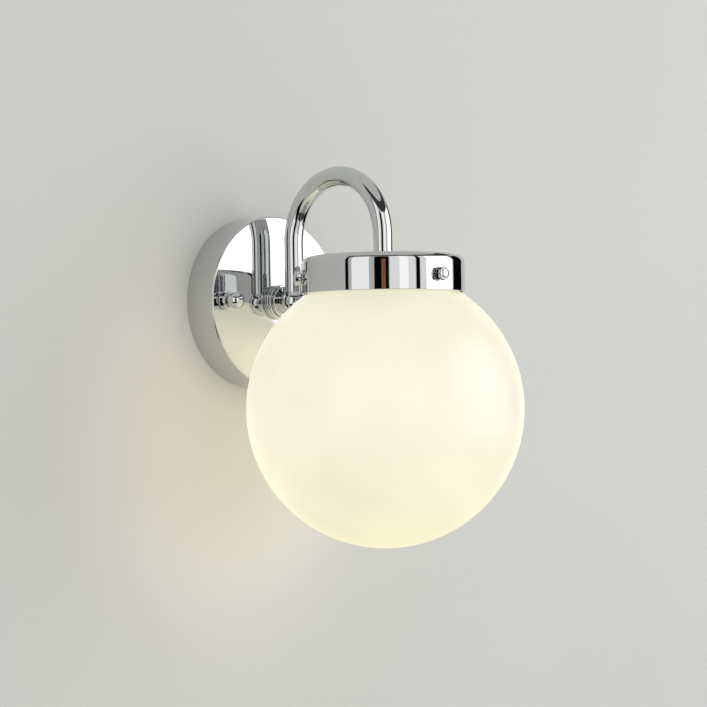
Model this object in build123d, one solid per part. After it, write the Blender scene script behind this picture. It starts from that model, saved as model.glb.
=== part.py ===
from build123d import *
from math import acos, atan2, cos, pi, radians, sin, sqrt
import os

# Globe wall sconce. The wall is the plane Y = 0, the light stands out towards -Y, and +Z is up.
# The origin is the centre of the bracket's back face, on the wall. All sizes are millimetres.

# Canopy, the round cup that covers the wall bracket
canopy_diameter = 101.6
canopy_depth = 22.2
canopy_wall = 1.2
canopy_edge_radius = 1.0
nut_to_canopy_edge = 9.5

# Wall bracket, a steel strap with its ends raised to clear the heads of its studs
bracket_end_gap = 2.6
bracket_height = 18.0
bracket_thickness = 1.5
bracket_raised_end = 14.0
bracket_raise = 4.5
wall_slot_spacing = 50.0
wall_slot_length = 12.0
wall_slot_width = 4.6

# Studs and the cap nuts that hold the canopy
stud_diameter = 4.0
stud_head_diameter = 7.6
stud_head_height = 2.6
stud_tip_past_face = 9.0
stud_nut_flats = 7.0
stud_nut_height = 3.2
nut_washer_diameter = 9.0
nut_washer_thickness = 0.6
cap_nut_collar_diameter = 10.7
cap_nut_collar_height = 4.4
cap_nut_waist_diameter = 6.0
cap_nut_ball_diameter = 9.7
cap_nut_length = 13.65

# Ribbed collar, ball hub and the hollow nipple that joins them to the canopy
hub_standoff = 14.2
ball_diameter = 15.6
stub_diameter = 13.0
collar_length = 6.2
collar_seat_depth = 3.2
rib_diameters = (20.4, 20.4, 18.2)
groove_diameter = 17.0
groove_width = 0.5
rib_edge_radius = 0.6
nipple_diameter = 10.0
nipple_bore = 7.2
nipple_inside_canopy = 6.8
nipple_stop = 0.6
nipple_washer_diameter = 18.0
nipple_washer_thickness = 1.0
nipple_nut_flats = 14.0
nipple_nut_height = 3.5

# Arm, one tube bent into an upside-down U
tube_diameter = 11.1
tube_bore = 8.0
arm_reach = 70.6
arm_crown_height = 75.3
tube_end_above_hub = 3.5
tube_thread_length = 10.2

# Gallery, the shallow drum that holds the globe
gallery_diameter = 90.0
gallery_height = 20.1
gallery_wall = 1.2
gallery_edge_radius = 4.0
gallery_top = 21.8
gallery_washer_diameter = 18.0
gallery_washer_thickness = 1.0
gallery_nut_height = 3.0

# Globe, opal glass with a plain neck
globe_diameter = 152.4
glass_wall = 3.0
neck_gap = 3.8
shoulder_gap = 1.9
neck_round = 1.0
neck_ring_thickness = 2.0
neck_ring_width = 4.0

# Thumb screws round the gallery
shade_screw_count = 3
first_screw_angle = -96.0
screw_height_in_gallery = 8.3
screw_diameter = 4.0
screw_head_diameter = 7.4
screw_head_length = 4.2
screw_head_gap = 0.5
knurl_count = 20
knurl_depth = 0.35
tip_pad_diameter = 3.8
tip_pad_thickness = 0.8
tip_stem_diameter = 1.9
tip_stem_length = 2.4
bush_diameter = 7.2
bush_length = 3.0

# Lamp holder and lamp
holder_diameter = 39.0
holder_wall = 2.0
holder_cap_height = 11.0
holder_cap_top_diameter = 20.0
holder_cap_wall = 1.8
holder_body_length = 36.5
insert_thickness = 7.0
insert_ledge = 1.5
lamp_thread_diameter = 26.4
shell_wall = 0.5
shell_length = 21.0
shell_top_opening = 17.0
contact_width = 5.0
contact_thickness = 0.5
contact_reach = 2.2
lamp_cap_length = 26.0
lamp_cap_wall = 0.45
lamp_bulb_diameter = 60.0
lamp_length = 100.0
lamp_glass_wall = 0.9
lamp_contact_diameter = 9.0
lamp_contact_height = 1.0
lamp_insulator_height = 3.0

# Wiring
lead_diameter = 2.0
lead_spacing = 2.4
terminal_width = 12.0
terminal_height = 18.0
terminal_depth = 11.0
terminal_offset = 9.5
terminal_pole_spacing = 9.0
terminal_screw_diameter = 3.0
terminal_screw_spacing = 5.0
terminal_bore = 2.4
wire_depth_in_terminal = 5.5
earth_screw_offset = 12.0
earth_screw_diameter = 4.0
earth_screw_head_diameter = 7.0
earth_screw_head_height = 2.4
earth_tag_thickness = 0.8
earth_tag_width = 1.9
earth_lead_diameter = 1.8
earth_lead_loop = 11.0

# Clearances
thread_clearance = 0.06
fit_clearance = 0.05
moving_clearance = 0.3
bolt_clearance = 0.3

# Sizes and places worked out from the sizes above
nut_spacing = canopy_diameter - 2 * nut_to_canopy_edge
bracket_length = canopy_diameter - 2 * canopy_wall - 2 * bracket_end_gap
bracket_flat_length = bracket_length - 2 * bracket_raised_end
hub_out = canopy_depth + hub_standoff
lamp_out = hub_out + arm_reach
bend_radius = arm_reach / 2
bend_centre_height = arm_crown_height - tube_diameter / 2 - bend_radius
canopy_inside = canopy_depth - canopy_wall
gallery_bottom = gallery_top - gallery_height
gallery_ceiling = gallery_top - gallery_wall
gallery_inner_radius = gallery_diameter / 2 - gallery_wall
gallery_inner_edge_radius = gallery_edge_radius - gallery_wall
globe_radius = globe_diameter / 2
neck_radius = gallery_inner_radius - neck_gap
shoulder_height = sqrt(globe_radius**2 - neck_radius**2)
globe_centre_height = gallery_bottom - shoulder_gap - sqrt(globe_radius**2 - (gallery_diameter / 2) ** 2)
neck_bottom = globe_centre_height + shoulder_height
neck_top = gallery_ceiling - neck_ring_thickness - moving_clearance
holder_top = gallery_ceiling - gallery_washer_thickness - gallery_nut_height
holder_body_top = holder_top - holder_cap_height
insert_bottom = holder_body_top - insert_thickness
lamp_top = insert_bottom - contact_reach - contact_thickness - moving_clearance

# Frames: pieces that stack out from the wall are drawn with their own +Z as "out"
out_of_wall = Rot(90, 0, 0)
into_wall = Rot(-90, 0, 0)
lamp_axis = Pos(0, -lamp_out, 0)


def ring(outer_diameter, inner_diameter, low, high):
    section = Circle(outer_diameter / 2) - Circle(inner_diameter / 2)
    return Pos(0, 0, low) * extrude(section, high - low)


def rod(diameter, low, high):
    return Pos(0, 0, low) * extrude(Circle(diameter / 2), high - low)


def hexagon_nut(flats, bore, low, high):
    section = RegularPolygon(flats / 2, 6, major_radius=False) - Circle(bore / 2)
    return Pos(0, 0, low) * extrude(section, high - low)


def turned(outline):
    # the outline is drawn as (radius, height) and turned about the height axis
    return revolve(Plane.XZ * make_face(outline), Axis.Z)


def make_wall_bracket():
    end = bracket_length / 2
    flat = bracket_flat_length / 2
    lean = bracket_thickness * 0.4
    wall_side = [(-end, -bracket_raise), (-flat - bracket_raise, -bracket_raise), (-flat, 0),
                 (flat, 0), (flat + bracket_raise, -bracket_raise), (end, -bracket_raise)]
    front = bracket_raise + bracket_thickness
    front_side = [(end, -front), (flat + bracket_raise - lean, -front), (flat - lean, -bracket_thickness),
                  (-flat + lean, -bracket_thickness), (-flat - bracket_raise + lean, -front), (-end, -front)]
    strap = extrude(make_face(Polyline(wall_side + front_side, close=True)), bracket_height / 2, both=True)
    slot = extrude(SlotOverall(wall_slot_length, wall_slot_width), bracket_length / 4, both=True)
    hole = rod(stud_diameter + 2 * fit_clearance, 0, 2 * front)
    earth_hole = rod(earth_screw_diameter + 2 * fit_clearance, -bracket_thickness, 2 * bracket_thickness)
    for side in (-1, 1):
        strap -= Pos(side * wall_slot_spacing / 2, 0, 0) * out_of_wall * slot
        strap -= Pos(side * nut_spacing / 2, 0, 0) * out_of_wall * hole
    strap -= Pos(earth_screw_offset, 0, 0) * out_of_wall * earth_hole
    return strap


def make_stud():
    head = rod(stud_head_diameter, bracket_raise - stud_head_height, bracket_raise)
    shank = rod(stud_diameter, bracket_raise, canopy_depth + stud_tip_past_face)
    return head + shank


def make_stud_nut():
    seat = bracket_raise + bracket_thickness
    return hexagon_nut(stud_nut_flats, stud_diameter + 2 * fit_clearance, seat, seat + stud_nut_height)


def make_canopy():
    shell = rod(canopy_diameter, 0, canopy_depth)
    shell = fillet(shell.edges().group_by(Axis.Z)[-1], canopy_edge_radius)
    shell -= rod(canopy_diameter - 2 * canopy_wall, -1, canopy_inside)
    shell -= rod(nipple_diameter + 2 * bolt_clearance, 0, 2 * canopy_depth)
    for side in (-1, 1):
        shell -= Pos(side * nut_spacing / 2, 0, 0) * rod(stud_diameter + 2 * bolt_clearance, 0, 2 * canopy_depth)
    return shell


def make_nut_washer():
    bore = stud_diameter + 2 * moving_clearance
    return ring(nut_washer_diameter, bore, canopy_depth, canopy_depth + nut_washer_thickness)


def make_cap_nut():
    base = canopy_depth + nut_washer_thickness
    ball_centre = base + cap_nut_length - cap_nut_ball_diameter / 2
    collar = rod(cap_nut_collar_diameter, base, base + cap_nut_collar_height)
    collar = fillet(collar.edges(), cap_nut_collar_height / 6)
    waist = rod(cap_nut_waist_diameter, base + cap_nut_collar_height, ball_centre)
    ball = Pos(0, 0, ball_centre) * Sphere(cap_nut_ball_diameter / 2)
    bore_depth = canopy_depth + stud_tip_past_face + moving_clearance
    return collar + waist + ball - rod(stud_diameter + 2 * thread_clearance, 0, bore_depth)


def make_hub_collar():
    rib_count = len(rib_diameters)
    rib_width = (collar_length - (rib_count - 1) * groove_width) / rib_count
    collar = rod(groove_diameter, canopy_depth, canopy_depth + collar_length)
    for index, rib_diameter in enumerate(rib_diameters):
        low = canopy_depth + index * (rib_width + groove_width)
        rib = rod(rib_diameter, low, low + rib_width)
        collar += fillet(rib.edges(), rib_edge_radius)
    seat = canopy_depth + collar_length - collar_seat_depth
    collar -= rod(stub_diameter + 2 * fit_clearance, seat, 2 * canopy_depth)
    return collar - rod(nipple_diameter + 2 * fit_clearance, 0, 2 * canopy_depth)


def make_ball_hub():
    # drawn about the ball's centre, with +Z towards the wall
    stub_end = hub_standoff - collar_length + collar_seat_depth
    ball = Sphere(ball_diameter / 2) + rod(stub_diameter, 0, stub_end)
    thread_start = tube_diameter / 2 + nipple_stop
    ball -= rod(nipple_diameter + 2 * fit_clearance, thread_start, 2 * stub_end)
    ball -= rod(nipple_bore, 0, stub_end)
    tube_socket = rod(tube_diameter + 2 * fit_clearance, tube_end_above_hub, ball_diameter)
    wire_way = rod(tube_bore, -tube_bore / 2, ball_diameter)
    return into_wall * ball - tube_socket - wire_way


def make_hub_nipple():
    hub_end = hub_out - tube_diameter / 2 - nipple_stop
    return ring(nipple_diameter, nipple_bore, canopy_inside - nipple_inside_canopy, hub_end)


def make_nipple_washer():
    bore = nipple_diameter + 2 * fit_clearance
    return ring(nipple_washer_diameter, bore, canopy_inside - nipple_washer_thickness, canopy_inside)


def make_nipple_nut():
    seat = canopy_inside - nipple_washer_thickness - earth_tag_thickness
    return hexagon_nut(nipple_nut_flats, nipple_diameter + 2 * fit_clearance, seat - nipple_nut_height, seat)


def arm_path(side_offset, front_end, rear_end):
    # up the front leg, over the bend and down the rear leg
    front, rear, level = -lamp_out, -hub_out, bend_centre_height
    middle = (front + rear) / 2
    crown = (side_offset, middle, level + bend_radius)
    up = Line((side_offset, front, front_end), (side_offset, front, level))
    over = ThreePointArc((side_offset, front, level), crown, (side_offset, rear, level))
    down = Line((side_offset, rear, level), (side_offset, rear, rear_end))
    return up + over + down


def make_arm_tube():
    path = arm_path(0, gallery_top, tube_end_above_hub)
    section = Pos(0, -lamp_out, gallery_top) * (Circle(tube_diameter / 2) - Circle(tube_bore / 2))
    thread = ring(nipple_diameter, tube_bore, gallery_top - tube_thread_length, gallery_top)
    return sweep(section, path) + lamp_axis * thread


def screw_places():
    # one place for each thumb screw: its own +Z points out through the gallery's wall
    height = gallery_bottom + screw_height_in_gallery
    for index in range(shade_screw_count):
        angle = first_screw_angle + index * 360 / shade_screw_count
        yield lamp_axis * Pos(0, 0, height) * Rot(0, 0, angle) * Rot(0, 90, 0)


def make_gallery():
    cup = rod(gallery_diameter, gallery_bottom, gallery_top)
    cup = fillet(cup.edges().group_by(Axis.Z)[-1], gallery_edge_radius)
    hollow = rod(2 * gallery_inner_radius, gallery_bottom - 1, gallery_ceiling)
    cup -= fillet(hollow.edges().group_by(Axis.Z)[-1], gallery_inner_edge_radius)
    cup -= rod(nipple_diameter + 2 * bolt_clearance, gallery_bottom, gallery_top + 1)
    cup = lamp_axis * cup
    for place in screw_places():
        cup -= place * rod(screw_diameter + 2 * thread_clearance, neck_radius, gallery_diameter)
    return cup


def make_gallery_bush(place):
    low = gallery_inner_radius - bush_length
    blank = ring(bush_diameter, screw_diameter + 2 * thread_clearance, low, gallery_inner_radius)
    inside = lamp_axis * rod(2 * gallery_inner_radius, gallery_bottom, gallery_ceiling)
    return (place * blank) & inside


def make_gallery_washer():
    bore = nipple_diameter + 2 * fit_clearance
    return ring(gallery_washer_diameter, bore, gallery_ceiling - gallery_washer_thickness, gallery_ceiling)


def make_gallery_nut():
    return hexagon_nut(nipple_nut_flats, nipple_diameter + 2 * fit_clearance, holder_top,
                       holder_top + gallery_nut_height)


def make_neck_ring():
    # on the flat of the gallery's ceiling, inside its rounded corner
    outer = 2 * (gallery_inner_radius - gallery_inner_edge_radius)
    inner = outer - 2 * neck_ring_width
    return ring(outer, inner, gallery_ceiling - neck_ring_thickness, gallery_ceiling)


def make_globe():
    inner_radius = globe_radius - glass_wall
    inner_neck = neck_radius - glass_wall
    centre = globe_centre_height
    inner_shoulder = centre + sqrt(inner_radius**2 - inner_neck**2)
    outside = ThreePointArc((0, centre - globe_radius), (globe_radius, centre), (neck_radius, neck_bottom))
    neck = Polyline((neck_radius, neck_bottom), (neck_radius, neck_top), (inner_neck, neck_top),
                    (inner_neck, inner_shoulder))
    inside = ThreePointArc((inner_neck, inner_shoulder), (inner_radius, centre), (0, centre - inner_radius))
    pole = Line((0, centre - inner_radius), (0, centre - globe_radius))
    glass = turned(outside + neck + inside + pole)
    return fillet(glass.edges().group_by(Axis.Z)[-1], neck_round)


def make_shade_screw():
    # drawn along the screw, with +Z out from the lamp's axis
    end = neck_radius + moving_clearance + tip_pad_thickness
    head_low = gallery_diameter / 2 + screw_head_gap
    grip = Circle(screw_head_diameter / 2)
    for place in PolarLocations(screw_head_diameter / 2, knurl_count):
        grip -= place * Rot(0, 0, 45) * Rectangle(2 * knurl_depth, 2 * knurl_depth)
    head = Pos(0, 0, head_low) * extrude(grip, screw_head_length)
    bevel = screw_head_length / 12
    head &= chamfer(rod(screw_head_diameter, head_low, head_low + screw_head_length).edges(), bevel)
    stem_hole = rod(tip_stem_diameter + 2 * fit_clearance, 0, end + tip_stem_length + moving_clearance)
    return head + rod(screw_diameter, end, head_low) - stem_hole


def make_screw_tip():
    low = neck_radius + moving_clearance
    pad = rod(tip_pad_diameter, low, low + tip_pad_thickness)
    return pad + rod(tip_stem_diameter, low, low + tip_pad_thickness + tip_stem_length)


def make_holder_cap():
    top_radius = holder_cap_top_diameter / 2
    outer = holder_diameter / 2
    shoulder = holder_top - holder_cap_height * 0.55
    outline = Polyline((0, holder_body_top), (outer, holder_body_top), (outer, shoulder),
                       (top_radius, holder_top), (0, holder_top), close=True)
    wall = holder_cap_wall
    hollow = Polyline((0, holder_body_top), (outer - wall, holder_body_top), (outer - wall, shoulder - wall / 2),
                      (top_radius - wall / 2, holder_top - wall), (0, holder_top - wall), close=True)
    return turned(outline) - turned(hollow) - rod(nipple_diameter + 2 * fit_clearance, 0, 2 * holder_top)


def make_holder_body():
    bottom = holder_body_top - holder_body_length
    inner = holder_diameter - 2 * holder_wall
    body = ring(holder_diameter, inner - 2 * insert_ledge, bottom, holder_body_top)
    body = fillet(body.edges().group_by(Axis.Z)[0].sort_by(SortBy.LENGTH)[-1], holder_wall / 2)
    return body - rod(inner, insert_bottom, 2 * holder_body_top)


def make_holder_insert():
    # flat top carries the two leads, the underside carries the shell and the centre contact
    diameter = holder_diameter - 2 * holder_wall - 2 * fit_clearance
    insert = rod(diameter, insert_bottom, holder_body_top)
    return chamfer(insert.edges().group_by(Axis.Z)[-1], insert_thickness / 6)


def make_screw_shell():
    bore = lamp_thread_diameter + 2 * moving_clearance
    wall = ring(bore + 2 * shell_wall, bore, insert_bottom - shell_length, insert_bottom)
    return wall + ring(bore + 2 * shell_wall, shell_top_opening, insert_bottom - shell_wall, insert_bottom)


def make_centre_contact():
    # a springy strip that steps down from the insert to meet the lamp
    half = contact_width / 2
    root = -shell_top_opening / 2 + 1.5
    thick = contact_thickness
    upper = [(root, 0), (root + half, 0), (-half / 2, -contact_reach), (half, -contact_reach)]
    lower = [(half, -contact_reach - thick), (-half / 2 - thick, -contact_reach - thick),
             (root + half - thick, -thick), (root, -thick)]
    strip = make_face(Polyline(upper + lower, close=True))
    return Pos(0, 0, insert_bottom) * extrude(Plane.XZ * strip, half, both=True)


def make_lamp_glass():
    radius = lamp_bulb_diameter / 2
    centre = lamp_top - lamp_length + radius
    neck = lamp_thread_diameter / 2 - lamp_cap_wall - 2 * fit_clearance
    cap_mouth = lamp_top - lamp_cap_length
    top = lamp_top - lamp_cap_length * 0.7
    waist = (neck, cap_mouth)
    # the neck's flare is a line from the cap's mouth that is tangent to the round bulb
    distance = sqrt(neck**2 + (cap_mouth - centre)**2)
    lean = pi / 2 - atan2(neck, cap_mouth - centre) - acos(radius / distance)
    touch = (radius * cos(lean), centre + radius * sin(lean))

    def outline(inset):
        low = (0, centre - radius + inset)
        side = (radius - inset, centre)
        shrink = (radius - inset) / radius
        joint = (touch[0] * shrink, centre + (touch[1] - centre) * shrink)
        bulb = ThreePointArc(low, side, joint)
        stem = Polyline(joint, (waist[0] - inset, waist[1]), (waist[0] - inset, top - inset), (0, top - inset), low)
        return bulb + stem

    return turned(outline(0)) - turned(outline(lamp_glass_wall))


def make_lamp_cap():
    top = lamp_top - lamp_contact_height - lamp_insulator_height
    bore = lamp_thread_diameter - 2 * lamp_cap_wall
    cap = ring(lamp_thread_diameter, bore, lamp_top - lamp_cap_length, top)
    return cap + ring(lamp_thread_diameter, lamp_thread_diameter / 2, top - lamp_cap_wall, top)


def make_lamp_insulator():
    top = lamp_top - lamp_contact_height
    low = top - lamp_insulator_height
    wide = lamp_thread_diameter / 2 - 1.5
    narrow = lamp_contact_diameter / 2 + 0.6
    return turned(Polyline((0, low), (wide, low), (narrow, top), (0, top), close=True))


def make_lamp_contact():
    button = rod(lamp_contact_diameter, lamp_top - lamp_contact_height, lamp_top)
    return fillet(button.edges().group_by(Axis.Z)[-1], lamp_contact_height / 2)


def make_terminal_block():
    front = bracket_thickness + terminal_depth
    block = Pos(-terminal_offset, 0, bracket_thickness) * Box(
        terminal_width, terminal_height, terminal_depth, align=(Align.CENTER, Align.CENTER, Align.MIN))
    block = fillet(block.edges().filter_by(Axis.Z), terminal_width / 10)
    for up in (-1, 1):
        height = up * terminal_pole_spacing / 2
        wire_way = Rot(0, 90, 0) * rod(terminal_bore, -terminal_width, terminal_width)
        block -= Pos(-terminal_offset, height, bracket_thickness + wire_depth_in_terminal) * wire_way
        for side in (-1, 1):
            across = -terminal_offset + side * terminal_screw_spacing / 2
            screw_way = rod(terminal_screw_diameter + 2 * fit_clearance, bracket_thickness + wire_depth_in_terminal,
                            2 * front)
            block -= Pos(across, height, 0) * screw_way
    return block


def make_terminal_screws():
    low = bracket_thickness + wire_depth_in_terminal + terminal_bore / 2
    high = bracket_thickness + terminal_depth - 0.4
    screws = []
    for up in (-1, 1):
        for side in (-1, 1):
            across = -terminal_offset + side * terminal_screw_spacing / 2
            slot = Pos(0, 0, high) * Box(0.6, terminal_screw_diameter, 1.2)
            screw = rod(terminal_screw_diameter, low, high) - slot
            screws.append(Pos(across, up * terminal_pole_spacing / 2, 0) * screw)
    return screws


def make_earth_screw():
    seat = bracket_thickness + earth_tag_thickness
    shank = rod(earth_screw_diameter, 0, seat)
    head = rod(earth_screw_head_diameter, seat, seat + earth_screw_head_height)
    head = fillet(head.edges().group_by(Axis.Z)[-1], earth_screw_head_height / 3)
    slot = Pos(0, 0, seat + earth_screw_head_height) * Box(earth_screw_head_diameter, 0.9, 2.2)
    return Pos(earth_screw_offset, 0, 0) * (shank + head - slot)


def make_earth_lead():
    # a ring tag on the earth screw, a ring tag on the nipple, and the wire between them
    bracket_tag_mid = bracket_thickness + earth_tag_thickness / 2
    nipple_tag_high = canopy_inside - nipple_washer_thickness
    nipple_tag_mid = nipple_tag_high - earth_tag_thickness / 2
    screw_tag_outer = earth_screw_diameter + 2 * earth_tag_width
    nipple_tag_outer = nipple_washer_diameter + earth_tag_width
    screw_tag = ring(screw_tag_outer, earth_screw_diameter + 2 * fit_clearance, bracket_thickness,
                     bracket_thickness + earth_tag_thickness)
    nipple_tag = ring(nipple_tag_outer, nipple_diameter + 2 * fit_clearance, nipple_tag_high - earth_tag_thickness,
                      nipple_tag_high)
    reach = nipple_tag_outer / 2 * cos(radians(45))
    wire_lift = earth_lead_diameter / 2
    path = FilletPolyline(
        (earth_screw_offset, screw_tag_outer / 2 - 0.3, bracket_thickness + wire_lift),
        (earth_screw_offset, earth_lead_loop, bracket_thickness + wire_lift),
        (earth_screw_offset, earth_lead_loop, nipple_tag_mid),
        (reach, reach, nipple_tag_mid), radius=earth_lead_diameter)
    start = path @ 0
    section = Plane(start, z_dir=path % 0) * Circle(earth_lead_diameter / 2)
    wire = sweep(section, path)
    tags = Pos(earth_screw_offset, 0, 0) * screw_tag + nipple_tag
    return tags + wire


def make_lead(side):
    # side is +1 or -1: which of the pair, and which pole of the terminal block it goes to
    across = side * lead_spacing / 2
    wire_out = bracket_thickness + wire_depth_in_terminal
    pole = side * terminal_pole_spacing / 2
    block_face = -terminal_offset + terminal_width / 2
    turn_out = canopy_inside - nipple_inside_canopy - lead_diameter
    rear_end = bend_radius / 2
    path = arm_path(across, holder_body_top, rear_end)
    path += FilletPolyline(
        (across, -hub_out, rear_end), (across, -hub_out, 0), (across, -turn_out, 0),
        (across, -wire_out, pole), (block_face - terminal_width / 3, -wire_out, pole), radius=lead_diameter)
    section = Pos(across, -lamp_out, holder_body_top) * Circle(lead_diameter / 2)
    return sweep(section, path)


def group(solids):
    return Compound(children=list(solids))


left = Pos(-nut_spacing / 2, 0, 0) * out_of_wall
right = Pos(nut_spacing / 2, 0, 0) * out_of_wall

nodes = {
    "wall_bracket": make_wall_bracket(),
    "bracket_studs": group([left * make_stud(), right * make_stud()]),
    "stud_nuts": group([left * make_stud_nut(), right * make_stud_nut()]),
    "canopy": out_of_wall * make_canopy(),
    "cap_nut_left": left * make_cap_nut(),
    "cap_nut_right": right * make_cap_nut(),
    "nut_washer_left": left * make_nut_washer(),
    "nut_washer_right": right * make_nut_washer(),
    "hub_collar": out_of_wall * make_hub_collar(),
    "ball_hub": Pos(0, -hub_out, 0) * make_ball_hub(),
    "hub_nipple": out_of_wall * make_hub_nipple(),
    "nipple_washer": out_of_wall * make_nipple_washer(),
    "nipple_nut": out_of_wall * make_nipple_nut(),
    "arm_tube": make_arm_tube(),
    "gallery": make_gallery(),
    "gallery_bushes": group([make_gallery_bush(place) for place in screw_places()]),
    "gallery_washer": lamp_axis * make_gallery_washer(),
    "gallery_nut": lamp_axis * make_gallery_nut(),
    "neck_ring": lamp_axis * make_neck_ring(),
    "globe": lamp_axis * make_globe(),
    "holder_cap": lamp_axis * make_holder_cap(),
    "holder_body": lamp_axis * make_holder_body(),
    "holder_insert": lamp_axis * make_holder_insert(),
    "screw_shell": lamp_axis * make_screw_shell(),
    "centre_contact": lamp_axis * make_centre_contact(),
    "lamp_glass": lamp_axis * make_lamp_glass(),
    "lamp_cap": lamp_axis * make_lamp_cap(),
    "lamp_insulator": lamp_axis * make_lamp_insulator(),
    "lamp_contact": lamp_axis * make_lamp_contact(),
    "terminal_block": out_of_wall * make_terminal_block(),
    "terminal_screws": group([out_of_wall * screw for screw in make_terminal_screws()]),
    "earth_screw": out_of_wall * make_earth_screw(),
    "earth_lead": out_of_wall * make_earth_lead(),
    "lead_live": make_lead(1),
    "lead_neutral": make_lead(-1),
}

for number, place in enumerate(screw_places(), start=1):
    nodes[f"shade_screw_{number}"] = place * make_shade_screw()
    nodes[f"screw_tip_{number}"] = place * make_screw_tip()

os.makedirs("parts", exist_ok=True)
for name, shape in nodes.items():
    export_step(shape, f"parts/{name}.step")
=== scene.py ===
import bpy
import math
from mathutils import Matrix, Vector


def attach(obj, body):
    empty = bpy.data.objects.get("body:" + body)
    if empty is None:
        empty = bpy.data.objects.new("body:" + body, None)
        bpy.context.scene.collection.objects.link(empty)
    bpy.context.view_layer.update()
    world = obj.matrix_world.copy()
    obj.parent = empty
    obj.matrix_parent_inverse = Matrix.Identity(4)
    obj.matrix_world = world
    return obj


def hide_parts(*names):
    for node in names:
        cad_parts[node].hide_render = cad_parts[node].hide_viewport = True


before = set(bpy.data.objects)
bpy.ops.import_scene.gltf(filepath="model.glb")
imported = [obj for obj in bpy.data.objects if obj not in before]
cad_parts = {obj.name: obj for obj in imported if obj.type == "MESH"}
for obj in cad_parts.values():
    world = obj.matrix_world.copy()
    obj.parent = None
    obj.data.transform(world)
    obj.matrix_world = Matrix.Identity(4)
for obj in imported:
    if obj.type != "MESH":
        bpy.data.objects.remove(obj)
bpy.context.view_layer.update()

# Globe wall sconce. The wall is the plane y = 0, the light stands out towards -y, and z is up.
# Sizes in the dictionaries are millimetres, as in the CAD, and angles are degrees.

hubOut = 36.4  # from the wall to the centre of the ball hub
lampOut = 107.0  # from the wall to the axis of the gallery, globe and lamp
mergeGap = 0.002  # vertices closer than this become one
edgeAngle = 32  # edges sharper than this stay crisp
outwards = (0, -1, 0)
upwards = (0, 0, 1)


def mm(value):
    return value / 1000


def place(across, out, up):
    # a point in metres: across to the right, out from the wall, and up
    return Vector((mm(across), mm(-out), mm(up)))


wallCentre = place(0, 0, 0)
lampCentre = place(0, lampOut, 0)


def hexColour(text):
    # sRGB hex to the linear colour that a shader takes
    parts = [int(text[i:i + 2], 16) / 255 for i in (0, 2, 4)]
    return tuple(c / 12.92 if c <= 0.04045 else ((c + 0.055) / 1.055) ** 2.4 for c in parts) + (1,)


def deselectAll():
    if bpy.context.object and bpy.context.object.mode != "OBJECT":
        bpy.ops.object.mode_set(mode="OBJECT")
    bpy.ops.object.select_all(action="DESELECT")


def pickOnly(piece):
    deselectAll()
    piece.select_set(True)
    bpy.context.view_layer.objects.active = piece


def editOnly(piece):
    pickOnly(piece)
    bpy.ops.object.mode_set(mode="EDIT")
    bpy.ops.mesh.select_mode(type="VERT")
    bpy.ops.mesh.select_all(action="SELECT")


def selectWhere(piece, parts, test):
    # in edit mode: selects only the vertices or the polygons that pass the test
    bpy.ops.mesh.select_all(action="DESELECT")
    bpy.ops.object.mode_set(mode="OBJECT")
    for part in getattr(piece.data, parts):
        part.select = test(part)
    bpy.ops.object.mode_set(mode="EDIT")


def mergeDoubles():
    bpy.ops.mesh.select_all(action="SELECT")
    bpy.ops.mesh.remove_doubles(threshold=mm(mergeGap))
    bpy.ops.mesh.select_all(action="SELECT")


def applyPlace(piece):
    pickOnly(piece)
    bpy.ops.object.transform_apply(location=True, rotation=True, scale=True)


def applyModifier(piece, kind, **settings):
    pickOnly(piece)
    modifier = piece.modifiers.new(kind.title(), kind)
    for key, value in settings.items():
        setattr(modifier, key, value)
    bpy.ops.object.modifier_apply(modifier=modifier.name)


def smoothPiece(piece, angle=edgeAngle):
    pickOnly(piece)
    bpy.ops.object.shade_smooth_by_angle(angle=math.radians(angle))


def namePiece(piece, name):
    piece.name = name
    piece.data.name = name
    return piece


def copyPiece(piece, name, matrix):
    twin = piece.copy()
    twin.data = piece.data.copy()
    namePiece(twin, name)
    bpy.context.scene.collection.objects.link(twin)
    twin.matrix_world = matrix
    applyPlace(twin)
    return twin


def fitPiece(piece, material, body, slot, *nodes):
    # gives a finished piece its material and its body, and hides the CAD nodes that it stands for
    piece.data.materials.clear()
    piece.data.materials.append(material)
    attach(piece, body)
    if nodes:
        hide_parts(*nodes)
    return piece


wideGuard = 0.12  # a rounding has one more point this far along each straight run, to keep the run flat
fineGuard = 0.05  # the same on small pieces


def softOutline(corners, closed, steps=6, guard=wideGuard):
    # the outline of a turned piece: corners are (radius, height) or (radius, height, rounding)
    count = len(corners)
    outline = []
    for i, corner in enumerate(corners):
        here = Vector(corner[:2])
        rounding = corner[2] if len(corner) > 2 else 0
        if rounding == 0 or (not closed and i in (0, count - 1)):
            outline.append(here)
            continue
        back = Vector(corners[i - 1][:2]) - here
        ahead = Vector(corners[(i + 1) % count][:2]) - here
        backWay, aheadWay = back.normalized(), ahead.normalized()
        opening = backWay.angle(aheadWay)
        reach = rounding / math.tan(opening / 2)
        middle = here + (backWay + aheadWay).normalized() * (rounding / math.sin(opening / 2))
        first, last = here + backWay * reach, here + aheadWay * reach
        if back.length - reach > 3 * guard:
            outline.append(first + backWay * guard)
        startArm = first - middle
        sweep = startArm.angle_signed(last - middle)
        for step in range(steps + 1):
            turn = -sweep * step / steps
            c, s = math.cos(turn), math.sin(turn)
            arm = Vector((startArm.x * c - startArm.y * s, startArm.x * s + startArm.y * c))
            outline.append(middle + arm)
        if ahead.length - reach > 3 * guard:
            outline.append(last + aheadWay * guard)
    return outline


def arcOutline(centreHeight, radius, lowAngle, highAngle, steps):
    # points of a circle about (0, centreHeight); the angle is 0 at the equator and 90 at the top
    turns = [math.radians(lowAngle + (highAngle - lowAngle) * i / steps) for i in range(steps + 1)]
    return [Vector((radius * math.cos(t), centreHeight + radius * math.sin(t))) for t in turns]


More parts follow.
